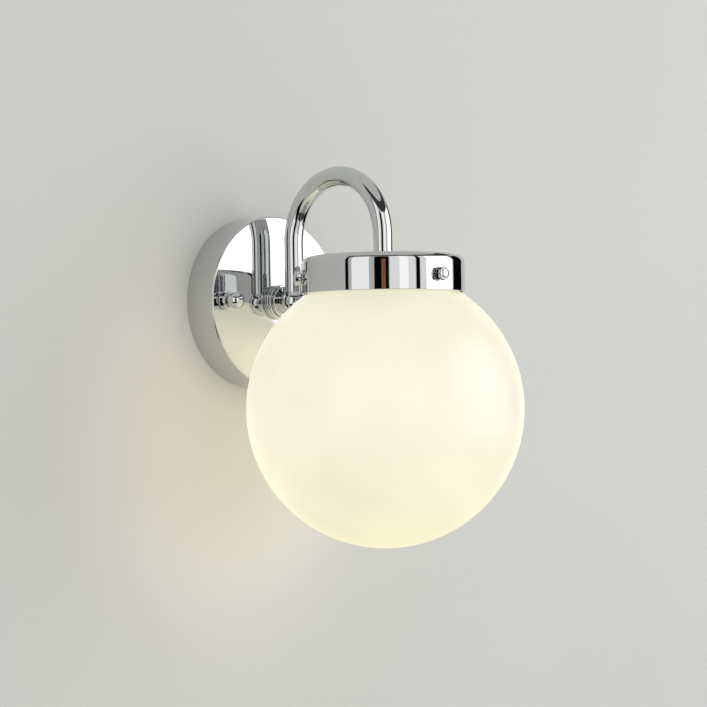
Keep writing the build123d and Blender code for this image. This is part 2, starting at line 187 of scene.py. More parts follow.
def turnPiece(name, outline, closed, centre, axis, steps):
    # a chain of vertices along the outline, spun round the axis as on a lathe
    axis = Vector(axis)
    side = Vector((1, 0, 0))
    points = [centre + side * mm(p[0]) + axis * mm(p[1]) for p in outline]
    deselectAll()
    bpy.ops.mesh.primitive_plane_add(size=mm(1), location=points[0])
    piece = namePiece(bpy.context.object, name)
    applyPlace(piece)
    editOnly(piece)
    bpy.ops.mesh.merge(type="CENTER")
    for before, after in zip(points, points[1:]):
        bpy.ops.mesh.extrude_vertices_move(TRANSFORM_OT_translate={"value": after - before})
    if closed:
        bpy.ops.mesh.extrude_vertices_move(TRANSFORM_OT_translate={"value": points[0] - points[-1]})
    mergeDoubles()
    bpy.ops.mesh.spin(steps=steps, angle=math.tau, center=centre, axis=axis)
    mergeDoubles()
    bpy.ops.mesh.normals_make_consistent(inside=False)
    bpy.ops.object.mode_set(mode="OBJECT")
    smoothPiece(piece)
    return piece


# materials
spread = {"From Min": 0.3, "From Max": 0.7}  # noise stays mostly between these values


def addNode(tree, kind, settings=None, links=None, stops=None, output=0):
    # adds a node and gives one of its outputs: settings are properties or input values, links are
    # {input: source}, and stops are the (place, colour) pairs of a colour ramp
    node = tree.nodes.new("ShaderNode" + kind)
    for key, value in (settings or {}).items():
        if key in node.inputs:
            node.inputs[key].default_value = value
        else:
            setattr(node, key, value)
    for key, source in (links or {}).items():
        tree.links.new(source, node.inputs[key])
    if stops:
        ramp = node.color_ramp.elements
        for spot, colour in stops[1:-1]:
            ramp.new(spot).color = hexColour(colour)
        for element, (spot, colour) in ((ramp[0], stops[0]), (ramp[len(ramp) - 1], stops[-1])):
            element.position = spot
            element.color = hexColour(colour)
    return node.outputs[output]


def newMaterial(name):
    # a material with its output and shader, and the Object coordinates that its patterns read
    material = bpy.data.materials.new(name)
    material.use_nodes = True
    tree = material.node_tree
    tree.nodes.clear()
    out = tree.nodes.new("ShaderNodeOutputMaterial")
    shader = tree.nodes.new("ShaderNodeBsdfPrincipled")
    tree.links.new(shader.outputs[0], out.inputs[0])
    where = addNode(tree, "TexCoord", output="Object")
    return material, tree, shader, where


def perMetre(sizeInMm):
    # the scale of a noise whose features are this big, on coordinates in metres
    return 1000 / sizeInMm


def bandScale(pitchInMm):
    # the scale of a wave with this pitch: at scale 1 it has 20 radians in a metre
    return perMetre(pitchInMm) * 0.05 * math.tau


def finishMaterial(tree, shader, colour, roughness, normal=None, **values):
    for key, value in values.items():
        shader.inputs[key].default_value = value
    for key, source in (("Base Color", colour), ("Roughness", roughness), ("Normal", normal)):
        if source:
            tree.links.new(source, shader.inputs[key])


def makePolishedChrome():
    # bright chromium plate on polished brass: a cool mirror with the faintest ripple and a wiped haze
    material, tree, shader, where = newMaterial("polishedChrome")
    ripple = addNode(tree, "TexNoise", {"Scale": perMetre(22.0), "Detail": 1.0}, {"Vector": where})
    haze = addNode(tree, "TexNoise", {"Scale": perMetre(9.0), "Detail": 4.0, "Roughness": 0.6},
                   {"Vector": where})
    tone = addNode(tree, "TexNoise", {"Scale": perMetre(30.0), "Detail": 2.0}, {"Vector": where})
    colour = addNode(tree, "ValToRGB", {}, {"Fac": tone}, ((0.3, "CED0D1"), (0.7, "D2D3D3")))
    rough = addNode(tree, "MapRange", {**spread, "To Min": 0.018, "To Max": 0.05}, {"Value": haze})
    bump = addNode(tree, "Bump", {"Strength": 0.25, "Distance": mm(0.05)}, {"Height": ripple})
    finishMaterial(tree, shader, colour, rough, bump, Metallic=1.0)
    return material


# painted glow of the globe, standing in for the bulb's light through the glass: how bright it is, and its
# painted colour from the globe's foot up to the top of its neck
opal = {"glow": 0.74, "foot": -138, "top": 18.3,
        "stops": ((0.0, "F8EDBA"), (0.16, "FBF4CF"), (0.42, "FEF9E1"), (0.72, "FCF5DE"), (0.9, "F0EDD2"),
                  (1.0, "E4E6C6"))}


def makeOpalGlass():
    # blown opal glass: milky body and soft satin sheen, with a painted glow for the bulb's light through it,
    # painted warmer at the foot and the neck
    material, tree, shader, where = newMaterial("opalGlass")
    cloud = addNode(tree, "TexNoise", {"Scale": perMetre(45.0), "Detail": 2.0}, {"Vector": where})
    shimmer = addNode(tree, "TexNoise", {"Scale": perMetre(4.0), "Detail": 3.0}, {"Vector": where})
    height = addNode(tree, "SeparateXYZ", {}, {"Vector": where}, output="Z")
    rise = addNode(tree, "MapRange", {"From Min": mm(opal["foot"]), "From Max": mm(opal["top"])},
                   {"Value": height})
    # painted glow: an emission colour by height, for the bulb's light shining through the glass
    glow = addNode(tree, "ValToRGB", {}, {"Fac": rise}, opal["stops"])
    soft = addNode(tree, "MapRange", {**spread, "To Min": 0.96, "To Max": 1.04}, {"Value": cloud})
    lit = addNode(tree, "MixRGB", {"blend_type": "MULTIPLY", "Fac": 1.0}, {"Color1": glow, "Color2": soft})
    tree.links.new(lit, shader.inputs["Emission Color"])
    colour = addNode(tree, "ValToRGB", {}, {"Fac": cloud}, ((0.3, "86867F"), (0.7, "8A8A82")))
    rough = addNode(tree, "MapRange", {**spread, "To Min": 0.30, "To Max": 0.38}, {"Value": shimmer})
    bump = addNode(tree, "Bump", {"Strength": 0.2, "Distance": mm(0.3)}, {"Height": cloud})
    finishMaterial(tree, shader, colour, rough, bump, **{"Emission Strength": opal["glow"], "IOR": 1.5})
    return material


def makeZincSteel():
    # pressed steel strip, zinc plated and passivated: soft grey sheen, drawn lines and a faint yellow bloom
    material, tree, shader, where = newMaterial("zincSteel")
    along = addNode(tree, "Mapping", {"Scale": (0.04, 1.0, 1.0)}, {"Vector": where})
    drawn = addNode(tree, "TexNoise", {"Scale": perMetre(0.6), "Detail": 4.0, "Roughness": 0.6},
                    {"Vector": along})
    bloom = addNode(tree, "TexNoise", {"Scale": perMetre(6.0), "Detail": 3.0}, {"Vector": where})
    colour = addNode(tree, "ValToRGB", {}, {"Fac": bloom}, ((0.3, "A9A9A4"), (0.7, "BAB8AC")))
    rough = addNode(tree, "MapRange", {**spread, "To Min": 0.24, "To Max": 0.42}, {"Value": drawn})
    bump = addNode(tree, "Bump", {"Strength": 0.5, "Distance": mm(0.02)}, {"Height": drawn})
    finishMaterial(tree, shader, colour, rough, bump, Metallic=1.0)
    return material


def makeThreadedSteel():
    # rolled steel thread, zinc plated: rings at the thread's 0.7 mm pitch show along the screw
    material, tree, shader, where = newMaterial("threadedSteel")
    rings = addNode(tree, "TexWave", {"wave_type": "BANDS", "bands_direction": "Y", "Scale": bandScale(0.7),
                    "Distortion": 0.0}, {"Vector": where}, output="Fac")
    grime = addNode(tree, "TexNoise", {"Scale": perMetre(1.5), "Detail": 3.0}, {"Vector": where})
    colour = addNode(tree, "ValToRGB", {}, {"Fac": grime}, ((0.3, "9C9B96"), (0.7, "B2B0A8")))
    rough = addNode(tree, "MapRange", {**spread, "To Min": 0.25, "To Max": 0.45}, {"Value": grime})
    bump = addNode(tree, "Bump", {"Strength": 0.9, "Distance": mm(0.12)}, {"Height": rings})
    finishMaterial(tree, shader, colour, rough, bump, Metallic=1.0)
    return material


def makeTurnedBrass():
    # plain turned brass: warm yellow metal, fine tool lines, a little dull in patches
    material, tree, shader, where = newMaterial("turnedBrass")
    around = addNode(tree, "Mapping", {"Scale": (1.0, 1.0, 0.06)}, {"Vector": where})
    lines = addNode(tree, "TexNoise", {"Scale": perMetre(0.35), "Detail": 4.0, "Roughness": 0.6},
                    {"Vector": around})
    patch = addNode(tree, "TexNoise", {"Scale": perMetre(3.5), "Detail": 3.0}, {"Vector": where})
    colour = addNode(tree, "ValToRGB", {}, {"Fac": patch}, ((0.3, "C29A54"), (0.7, "D8B36E")))
    rough = addNode(tree, "MapRange", {**spread, "To Min": 0.2, "To Max": 0.38}, {"Value": lines})
    bump = addNode(tree, "Bump", {"Strength": 0.5, "Distance": mm(0.015)}, {"Height": lines})
    finishMaterial(tree, shader, colour, rough, bump, Metallic=1.0)
    return material


def makePorcelain():
    # glazed electrical porcelain: off-white body under a clear glaze that pools a little, with pinholes
    material, tree, shader, where = newMaterial("glazedPorcelain")
    pool = addNode(tree, "TexNoise", {"Scale": perMetre(8.0), "Detail": 2.0}, {"Vector": where})
    speck = addNode(tree, "TexNoise", {"Scale": perMetre(0.8), "Detail": 2.0}, {"Vector": where})
    colour = addNode(tree, "ValToRGB", {}, {"Fac": speck}, ((0.3, "E6E3DA"), (0.7, "EFEDE6")))
    rough = addNode(tree, "MapRange", {**spread, "To Min": 0.08, "To Max": 0.16}, {"Value": pool})
    bump = addNode(tree, "Bump", {"Strength": 0.3, "Distance": mm(0.15)}, {"Height": pool})
    finishMaterial(tree, shader, colour, rough, bump, **{"IOR": 1.52, "Coat Weight": 0.4})
    return material


def makeNylon():
    # moulded natural nylon: milky and slightly waxy, with a fine moulded grain
    material, tree, shader, where = newMaterial("mouldedNylon")
    grain = addNode(tree, "TexNoise", {"Scale": perMetre(0.4), "Detail": 3.0}, {"Vector": where})
    flow = addNode(tree, "TexNoise", {"Scale": perMetre(5.0), "Detail": 2.0}, {"Vector": where})
    colour = addNode(tree, "ValToRGB", {}, {"Fac": flow}, ((0.3, "DDDBD0"), (0.7, "E8E7DE")))
    rough = addNode(tree, "MapRange", {**spread, "To Min": 0.38, "To Max": 0.52}, {"Value": grain})
    bump = addNode(tree, "Bump", {"Strength": 0.5, "Distance": mm(0.02)}, {"Height": grain})
    finishMaterial(tree, shader, colour, rough, bump, **{"IOR": 1.53, "Subsurface Weight": 0.15,
                   "Subsurface Scale": mm(1.0)})
    return material


def makeSilicone():
    # cast silicone rubber: cloudy white, a soft broad highlight, and dust that clings in specks
    material, tree, shader, where = newMaterial("castSilicone")
    dust = addNode(tree, "TexNoise", {"Scale": perMetre(0.7), "Detail": 4.0, "Roughness": 0.7},
                   {"Vector": where})
    colour = addNode(tree, "ValToRGB", {}, {"Fac": dust}, ((0.3, "D3D2CA"), (0.7, "E2E1DB")))
    rough = addNode(tree, "MapRange", {**spread, "To Min": 0.5, "To Max": 0.68}, {"Value": dust})
    bump = addNode(tree, "Bump", {"Strength": 0.6, "Distance": mm(0.02)}, {"Height": dust})
    finishMaterial(tree, shader, colour, rough, bump, IOR=1.41)
    return material


def makeFrostedGlass():
    # lamp bulb glass, silica coated inside: white and slightly grainy under a clear smooth skin, lit
    material, tree, shader, where = newMaterial("frostedLampGlass")
    grain = addNode(tree, "TexNoise", {"Scale": perMetre(1.2), "Detail": 4.0}, {"Vector": where})
    colour = addNode(tree, "ValToRGB", {}, {"Fac": grain}, ((0.3, "EFEBDD"), (0.7, "F7F4EA")))
    rough = addNode(tree, "MapRange", {**spread, "To Min": 0.24, "To Max": 0.34}, {"Value": grain})
    bump = addNode(tree, "Bump", {"Strength": 0.4, "Distance": mm(0.01)}, {"Height": grain})
    finishMaterial(tree, shader, colour, rough, bump, **{"IOR": 1.5, "Coat Weight": 0.5,
                   "Emission Color": hexColour("FFF0CF"), "Emission Strength": 0.8})
    return material


def makeNickelCap():
    # lamp cap, nickel-plated tinplate: warm grey metal, its screw thread as rings at 3.6 mm pitch
    material, tree, shader, where = newMaterial("nickelPlate")
    rings = addNode(tree, "TexWave", {"wave_type": "BANDS", "bands_direction": "Z", "Scale": bandScale(3.6),
                    "Distortion": 0.0}, {"Vector": where}, output="Fac")
    smear = addNode(tree, "TexNoise", {"Scale": perMetre(4.0), "Detail": 3.0}, {"Vector": where})
    colour = addNode(tree, "ValToRGB", {}, {"Fac": smear}, ((0.3, "B5AFA4"), (0.7, "C6C1B6")))
    rough = addNode(tree, "MapRange", {**spread, "To Min": 0.18, "To Max": 0.32}, {"Value": smear})
    bump = addNode(tree, "Bump", {"Strength": 0.8, "Distance": mm(0.8)}, {"Height": rings})
    finishMaterial(tree, shader, colour, rough, bump, Metallic=1.0)
    return material


def makeBlackGlass():
    # vitrite, the black glass insulator of a lamp cap: near black, glossy, with flow marks
    material, tree, shader, where = newMaterial("blackGlass")
    flow = addNode(tree, "TexNoise", {"Scale": perMetre(3.0), "Detail": 3.0}, {"Vector": where})
    colour = addNode(tree, "ValToRGB", {}, {"Fac": flow}, ((0.3, "16161A"), (0.7, "24242A")))
    rough = addNode(tree, "MapRange", {**spread, "To Min": 0.08, "To Max": 0.2}, {"Value": flow})
    bump = addNode(tree, "Bump", {"Strength": 0.4, "Distance": mm(0.05)}, {"Height": flow})
    finishMaterial(tree, shader, colour, rough, bump, IOR=1.6)
    return material


def makeWireCover(name, dark, light):
    # extruded PVC wire insulation: even colour, faint die marks, soft shine
    material, tree, shader, where = newMaterial(name)
    mark = addNode(tree, "TexNoise", {"Scale": perMetre(1.4), "Detail": 3.0}, {"Vector": where})
    colour = addNode(tree, "ValToRGB", {}, {"Fac": mark}, ((0.3, dark), (0.7, light)))
    rough = addNode(tree, "MapRange", {**spread, "To Min": 0.34, "To Max": 0.5}, {"Value": mark})
    bump = addNode(tree, "Bump", {"Strength": 0.5, "Distance": mm(0.02)}, {"Height": mark})
    finishMaterial(tree, shader, colour, rough, bump, IOR=1.5)
    return material


def makePaintedWall():
    # emulsion paint on a smooth board: flat pale grey with a very fine roller stipple
    material, tree, shader, where = newMaterial("paintedWall")
    stipple = addNode(tree, "TexNoise", {"Scale": perMetre(2.2), "Detail": 3.0}, {"Vector": where})
    drift = addNode(tree, "TexNoise", {"Scale": perMetre(300.0), "Detail": 2.0}, {"Vector": where})
    colour = addNode(tree, "ValToRGB", {}, {"Fac": drift}, ((0.3, "CFD0CE"), (0.7, "D1D2D0")))
    rough = addNode(tree, "MapRange", {**spread, "To Min": 0.75, "To Max": 0.9}, {"Value": stipple})
    bump = addNode(tree, "Bump", {"Strength": 0.25, "Distance": mm(0.05)}, {"Height": stipple})
    finishMaterial(tree, shader, colour, rough, bump, **{"Specular IOR Level": 0.15})
    # seen from behind, the wall is clear, so that the back of the light can be looked at
    out = next(node for node in tree.nodes if node.type == "OUTPUT_MATERIAL")
    clear = addNode(tree, "BsdfTransparent")
    back = addNode(tree, "NewGeometry", output="Backfacing")
    blend = addNode(tree, "MixShader", {}, {0: back, 1: shader.outputs[0], 2: clear})
    tree.links.new(blend, out.inputs[0])
    return material


def makePaleFloor():
    # plain pale studio floor, matt
    material, tree, shader, where = newMaterial("paleFloor")
    drift = addNode(tree, "TexNoise", {"Scale": perMetre(120.0), "Detail": 3.0}, {"Vector": where})
    colour = addNode(tree, "ValToRGB", {}, {"Fac": drift}, ((0.3, "E9E8E4"), (0.7, "ECEBE8")))
    rough = addNode(tree, "MapRange", {**spread, "To Min": 0.7, "To Max": 0.85}, {"Value": drift})
    bump = addNode(tree, "Bump", {"Strength": 0.2, "Distance": mm(0.05)}, {"Height": drift})
    finishMaterial(tree, shader, colour, rough, bump, **{"Specular IOR Level": 0.2})
    return material


def makeFlagCloth(name, tint):
    # matt cloth of one colour
    material, tree, shader, where = newMaterial(name)
    weave = addNode(tree, "TexNoise", {"Scale": perMetre(3.0), "Detail": 2.0}, {"Vector": where})
    colour = addNode(tree, "ValToRGB", {}, {"Fac": weave}, ((0.3, tint), (0.7, tint)))
    rough = addNode(tree, "MapRange", {**spread, "To Min": 0.9, "To Max": 1.0}, {"Value": weave})
    finishMaterial(tree, shader, colour, rough, **{"Specular IOR Level": 0.0})
    return material


polishedChrome = makePolishedChrome()
opalGlass = makeOpalGlass()
zincSteel = makeZincSteel()
threadedSteel = makeThreadedSteel()
turnedBrass = makeTurnedBrass()
porcelain = makePorcelain()
nylon = makeNylon()
silicone = makeSilicone()
frostedGlass = makeFrostedGlass()
nickelCap = makeNickelCap()
blackGlass = makeBlackGlass()
brownCover = makeWireCover("brownWireCover", "3F2414", "51301C")
blueCover = makeWireCover("blueWireCover", "1D3F88", "2950A0")
greenCover = makeWireCover("greenWireCover", "3C7F2C", "4F963A")
print("materials made")


# canopy, the chrome cup on the wall
canopy = {"radius": 50.8, "depth": 22.2, "wall": 1.2, "edge": 1.0, "hole": 5.3, "lip": 0.4, "holeLip": 0.2,
          "inside": 0.5, "round": 192}


def makeCanopy():
    c = canopy
    inner, top = c["radius"] - c["wall"], c["depth"] - c["wall"]
    corners = [(inner, 0, c["lip"]), (c["radius"], 0, c["lip"]), (c["radius"], c["depth"], c["edge"]),
               (c["hole"], c["depth"], c["holeLip"]), (c["hole"], top, c["holeLip"]),
               (inner, top, c["inside"])]
    return turnPiece("canopyCup", softOutline(corners, True), True, wallCentre, outwards, c["round"])


fitPiece(makeCanopy(), polishedChrome, "fixture", "chrome", "canopy")


# ribbed collar in front of the canopy
collar = {"start": 22.2, "length": 6.2, "ribs": (10.2, 10.2, 9.1), "groove": 8.5, "grooveWidth": 0.5,
          "edge": 0.6, "bore": 6.55, "backBore": 5.05, "seat": 3.2, "lip": 0.15, "round": 128}


def makeCollar():
    c = collar
    width = (c["length"] - c["grooveWidth"] * 2) / 3
    end = c["start"] + c["length"]
    corners = [(c["backBore"], c["start"])]
    for i, rib in enumerate(c["ribs"]):
        low = c["start"] + i * (width + c["grooveWidth"])
        if i:
            corners.append((c["groove"], low))
        corners += [(rib, low, c["edge"]), (rib, low + width, c["edge"])]
        if i < 2:
            corners.append((c["groove"], low + width))
    corners += [(c["bore"], end, c["lip"]), (c["bore"], end - c["seat"]), (c["backBore"], end - c["seat"])]
    outline = softOutline(corners, True, guard=fineGuard)
    return turnPiece("hubCollar", outline, True, wallCentre, outwards, c["round"])


# ball hub that takes the arm from above, with the stub that sits in the collar
ball = {"radius": 7.8, "stub": 6.5, "stubStart": 25.4, "lip": 0.2, "bore": 3.6, "boreStop": 4, "arcSteps": 40,
        "round": 128}


def makeBallHub():
    b = ball
    join = math.degrees(math.acos(b["stub"] / b["radius"]))
    boreEnd = hubOut - b["boreStop"]
    # the ball, from its tip to where it meets the stub, then the stub, its back end and the bore
    outline = arcOutline(hubOut, b["radius"], 90, -join, b["arcSteps"])
    back = [outline[-1], (b["stub"], b["stubStart"], b["lip"]), (b["bore"], b["stubStart"])]
    outline += softOutline(back, False)[1:]
    outline += [Vector((b["bore"], boreEnd)), Vector((0, boreEnd))]
    outline[0] = Vector((0, hubOut + b["radius"]))
    return turnPiece("ballHub", outline, False, wallCentre, outwards, b["round"])


fitPiece(makeCollar(), polishedChrome, "fixture", "chrome", "hub_collar")
fitPiece(makeBallHub(), polishedChrome, "fixture", "chrome", "ball_hub")


# arm, one tube bent into an upside-down U
arm = {"radius": 5.55, "bore": 4.0, "bendHeight": 34.45, "rearEnd": 3.5, "frontEnd": 21.8, "thread": 10.2,
       "threadRadius": 5.0, "round": 72, "bendSteps": 96}


def makeArm():
    a = arm
    start = place(0, lampOut, a["frontEnd"])
    deselectAll()
    bpy.ops.mesh.primitive_circle_add(vertices=a["round"], radius=mm(a["radius"]), fill_type="NOTHING",
                                      location=start)
    piece = namePiece(bpy.context.object, "armTube")
    applyPlace(piece)
    editOnly(piece)

    def lift(distance):
        bpy.ops.mesh.extrude_edges_move(TRANSFORM_OT_translate={"value": (0, 0, mm(distance))})

    def shrink(share, centre):
        bpy.ops.mesh.extrude_edges_move(TRANSFORM_OT_translate={"value": (0, 0, 0)})
        bpy.ops.transform.resize(value=(share, share, 1), center_override=centre)

    lift(a["bendHeight"] - a["frontEnd"])
    middle = place(0, (lampOut + hubOut) / 2, a["bendHeight"])
    bpy.ops.mesh.spin(steps=a["bendSteps"], angle=math.pi, center=middle, axis=(1, 0, 0))
    lift(a["rearEnd"] - a["bendHeight"])
    shrink(a["bore"] / a["radius"], place(0, hubOut, a["rearEnd"]))
    # back to the front end: the shoulder on the gallery, the threaded end below it, and the bore
    selectWhere(piece, "vertices", lambda vertex: abs(vertex.co.z - start.z) < mm(mergeGap))
    shrink(a["threadRadius"] / a["radius"], start)
    lift(-a["thread"])
    shrink(a["bore"] / a["threadRadius"], place(0, lampOut, a["frontEnd"] - a["thread"]))
    mergeDoubles()
    bpy.ops.mesh.normals_make_consistent(inside=False)
    bpy.ops.object.mode_set(mode="OBJECT")
    smoothPiece(piece)
    return piece


fitPiece(makeArm(), polishedChrome, "fixture", "chrome", "arm_tube")
print("canopy, hub and arm made")


# gallery, the chrome drum that holds the globe
gallery = {"radius": 45.0, "top": 21.8, "bottom": 1.7, "wall": 1.2, "edge": 4.0, "hole": 5.3, "lip": 0.35,
           "holeLip": 0.15, "round": 256, "edgeSteps": 8,
           "screwAngles": (-96.0, 24.0, 144.0), "screwHeight": 10.0, "screwHole": 2.06, "screwBand": 3.0,
           "screwHoleRound": 48}


def cutScrewHoles(drum):
    g = gallery
    for angle in g["screwAngles"]:
        turn = math.radians(angle)
        way = Vector((math.cos(turn), math.sin(turn), 0))
        spot = place(0, lampOut, g["screwHeight"]) + way * mm(g["radius"])
        deselectAll()
        bpy.ops.mesh.primitive_cylinder_add(vertices=g["screwHoleRound"], radius=mm(g["screwHole"]),
                                            depth=mm(4 * g["wall"]), location=spot,
                                            rotation=(0, math.radians(90), turn))
        cutter = bpy.context.object
        applyPlace(cutter)
        applyModifier(drum, "BOOLEAN", operation="DIFFERENCE", solver="EXACT", object=cutter)
        bpy.data.objects.remove(cutter)
    editOnly(drum)
    mergeDoubles()
    bpy.ops.object.mode_set(mode="OBJECT")
    smoothPiece(drum)


def makeGallery():
    g = gallery
    inner, ceiling = g["radius"] - g["wall"], g["top"] - g["wall"]
    # the wall has an edge above and below the screws, so that their holes leave its shine alone
    low, high = g["screwHeight"] - g["screwBand"], g["screwHeight"] + g["screwBand"]
    corners = [(inner, g["bottom"], g["lip"]), (g["radius"], g["bottom"], g["lip"]), (g["radius"], low),
               (g["radius"], high), (g["radius"], g["top"], g["edge"]), (g["hole"], g["top"], g["holeLip"]),
               (g["hole"], ceiling, g["holeLip"]), (inner, ceiling, g["edge"] - g["wall"]), (inner, high),
               (inner, low)]
    outline = softOutline(corners, True, steps=g["edgeSteps"])
    drum = turnPiece("galleryDrum", outline, True, lampCentre, upwards, g["round"])
    cutScrewHoles(drum)
    return drum


fitPiece(makeGallery(), polishedChrome, "fixture", "chrome", "gallery")


# globe of opal glass, with a plain neck
globe = {"radius": 76.2, "centre": -61.69, "wall": 3.0, "neck": 40.0, "neckTop": 18.3, "neckEdge": 1.2,
         "arcSteps": 96, "round": 192}


def makeGlobe():
    g = globe
    innerRadius, innerNeck = g["radius"] - g["wall"], g["neck"] - g["wall"]
    outerEnd = math.degrees(math.acos(g["neck"] / g["radius"]))
    innerEnd = math.degrees(math.acos(innerNeck / innerRadius))
    outline = arcOutline(g["centre"], g["radius"], -90, outerEnd, g["arcSteps"])
    outline[0] = Vector((0, g["centre"] - g["radius"]))
    neck = [outline[-1], (g["neck"], g["neckTop"], g["neckEdge"]), (innerNeck, g["neckTop"], g["neckEdge"]),
            (innerNeck, g["centre"] + innerRadius * math.sin(math.radians(innerEnd)))]
    outline += softOutline(neck, False)[1:]
    inside = arcOutline(g["centre"], innerRadius, innerEnd, -90, g["arcSteps"])[1:]
    inside[-1] = Vector((0, g["centre"] - innerRadius))
    return turnPiece("opalGlobe", outline + inside, False, lampCentre, upwards, g["round"])


fitPiece(makeGlobe(), opalGlass, "globe", "opal_glass", "globe")
print("gallery and globe made")


# thumb screws: one modelled along +z, then a copy for each place round the gallery
# (the photograph shows fewer and bolder knurls than the CAD's)
thumbScrew = {"headStart": 45.5, "headRadius": 3.7, "headLength": 4.2, "knurls": 12, "knurlDepth": 0.32,
              "chamfer": 0.35, "chamferSlope": 1.3, "rim": 0.3, "groove": 0.15, "grooveDepth": 0.25,
              "dome": 0.45, "domeSteps": ((0.35, 0.8), (0.6, 0.5), (0.7, 0.2555)),
              "shankRadius": 2.0, "shankStart": 41.12, "bore": 1.0, "boreLength": 2.5,
              "bevel": 0.07, "edgeAngle": 25}


def pushOut(distance):
    bpy.ops.mesh.extrude_region_move(TRANSFORM_OT_translate={"value": (0, 0, mm(distance))})


def makeGrip(body, middle):
    # the body of the head; every second edge is pressed in to make the knurls
    t = thumbScrew
    deselectAll()
    bpy.ops.mesh.primitive_cylinder_add(vertices=t["knurls"] * 2, radius=mm(t["headRadius"]), depth=mm(body),
                                        end_fill_type="NGON", location=middle)
    piece = namePiece(bpy.context.object, "thumbScrewHead")
    applyPlace(piece)
    editOnly(piece)
    step = math.pi / t["knurls"]
    selectWhere(piece, "vertices", lambda vertex: round(math.atan2(vertex.co.y, vertex.co.x) / step) % 2 == 1)
    share = 1 - t["knurlDepth"] / t["headRadius"]
    bpy.ops.transform.resize(value=(share, share, 1), center_override=middle)
    return piece


def addDome():
    # on the selected end: a rim, a groove and a low dome inside it
    t = thumbScrew
    bpy.ops.mesh.inset(thickness=mm(t["rim"]))
    bpy.ops.mesh.inset(thickness=mm(t["groove"]), depth=-mm(t["grooveDepth"]))
    for width, rise in t["domeSteps"]:
        bpy.ops.mesh.inset(thickness=mm(width), depth=mm(rise * t["dome"]))


def addShank(piece, endRadius):
    # on the selected end: the round shank down to the nylon tip, whose stem sits in a bore
    t = thumbScrew
    bpy.ops.mesh.inset(thickness=mm(endRadius - t["shankRadius"] - t["knurlDepth"] / 2))
    bpy.ops.object.mode_set(mode="OBJECT")
    for vertex in piece.data.vertices:
        if vertex.select:
            share = mm(t["shankRadius"]) / math.hypot(vertex.co.x, vertex.co.y)
            vertex.co.x *= share
            vertex.co.y *= share
    bpy.ops.object.mode_set(mode="EDIT")
    pushOut(t["shankStart"] - t["headStart"])
    bpy.ops.mesh.inset(thickness=mm(t["shankRadius"] - t["bore"]))
    pushOut(t["boreLength"])


def makeThumbScrew():
    t = thumbScrew
    body = t["headLength"] - 2 * t["chamfer"] - t["dome"]
    middle = (0, 0, mm(t["headStart"] + t["chamfer"] + body / 2))
    slope = 1 - t["chamfer"] * t["chamferSlope"] / t["headRadius"]
    piece = makeGrip(body, middle)
    bpy.ops.mesh.select_mode(type="FACE")
    for way in (-1, 1):
        selectWhere(piece, "polygons", lambda face: face.normal.z * way > 0.9)
        pushOut(way * t["chamfer"])
        end = (0, 0, middle[2] + way * mm(body / 2 + t["chamfer"]))
        bpy.ops.transform.resize(value=(slope, slope, 1), center_override=end)
        if way > 0:
            addDome()
        else:
            addShank(piece, t["headRadius"] * slope)
    bpy.ops.object.mode_set(mode="OBJECT")
    applyModifier(piece, "BEVEL", width=mm(t["bevel"]), segments=2, limit_method="ANGLE",
                  angle_limit=math.radians(t["edgeAngle"]))
    smoothPiece(piece, t["edgeAngle"])
    return piece


screwModel = makeThumbScrew()
for number, angle in enumerate(gallery["screwAngles"], start=1):
    turn = Matrix.Rotation(math.radians(angle), 4, "Z") @ Matrix.Rotation(math.radians(90), 4, "Y")
    spot = Matrix.Translation(place(0, lampOut, gallery["screwHeight"]))
    screw = copyPiece(screwModel, f"thumbScrew{number}", spot @ turn)
    fitPiece(screw, polishedChrome, f"shade_screw_{number}", "chrome", f"shade_screw_{number}")
bpy.data.objects.remove(screwModel)


# cap nuts that hold the canopy on its studs
capNut = {"across": 41.3, "start": 22.8, "collar": 5.35, "collarHeight": 4.4, "edge": 0.75, "lip": 0.1,
          "waist": 3.0, "ball": 4.85, "length": 13.65, "bore": 2.06, "boreEnd": 31.5, "arcSteps": 36,
          "round": 96}


def makeCapNut():
    c = capNut
    centre = c["start"] + c["length"] - c["ball"]
    join = math.degrees(math.acos(c["waist"] / c["ball"]))
    shelf = c["start"] + c["collarHeight"]
    corners = [(0, c["boreEnd"]), (c["bore"], c["boreEnd"]), (c["bore"], c["start"], c["lip"]),
               (c["collar"], c["start"], c["edge"]), (c["collar"], shelf, c["edge"]),
               (c["waist"], shelf, c["lip"]),
               (c["waist"], centre - c["ball"] * math.sin(math.radians(join)))]
    outline = softOutline(corners, False, guard=fineGuard)
    outline += arcOutline(centre, c["ball"], -join, 90, c["arcSteps"])[1:]
    outline[-1] = Vector((0, c["start"] + c["length"]))
    return turnPiece("capNutModel", outline, False, wallCentre, outwards, c["round"])


nutModel = makeCapNut()
for side, way in (("left", -1), ("right", 1)):
    spot = Matrix.Translation(place(way * capNut["across"], 0, 0))
    nut = copyPiece(nutModel, f"capNut{side.title()}", spot)
    fitPiece(nut, polishedChrome, f"cap_nut_{side}", "chrome", f"cap_nut_{side}")
bpy.data.objects.remove(nutModel)
print("thumb screws and cap nuts made")


# CAD pieces that keep their own shape
nodeFinish = {
    zincSteel: ("wall_bracket", "stud_nuts", "nipple_washer", "nipple_nut", "gallery_washer", "gallery_nut",
                "gallery_bushes"),
    threadedSteel: ("bracket_studs", "hub_nipple"),
    nylon: ("nut_washer_left", "nut_washer_right", "screw_tip_1", "screw_tip_2", "screw_tip_3",
            "terminal_block"),
    turnedBrass: ("terminal_screws", "earth_screw", "screw_shell", "centre_contact", "lamp_contact"),
    porcelain: ("holder_cap", "holder_body", "holder_insert"),
    silicone: ("neck_ring",),
    frostedGlass: ("lamp_glass",),
    nickelCap: ("lamp_cap",),
    blackGlass: ("lamp_insulator",),
    brownCover: ("lead_live",),
    blueCover: ("lead_neutral",),
    greenCover: ("earth_lead",),
}
for material, names in nodeFinish.items():
    for name in names:
        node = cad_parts[name]
        node.data.materials.clear()
        node.data.materials.append(material)
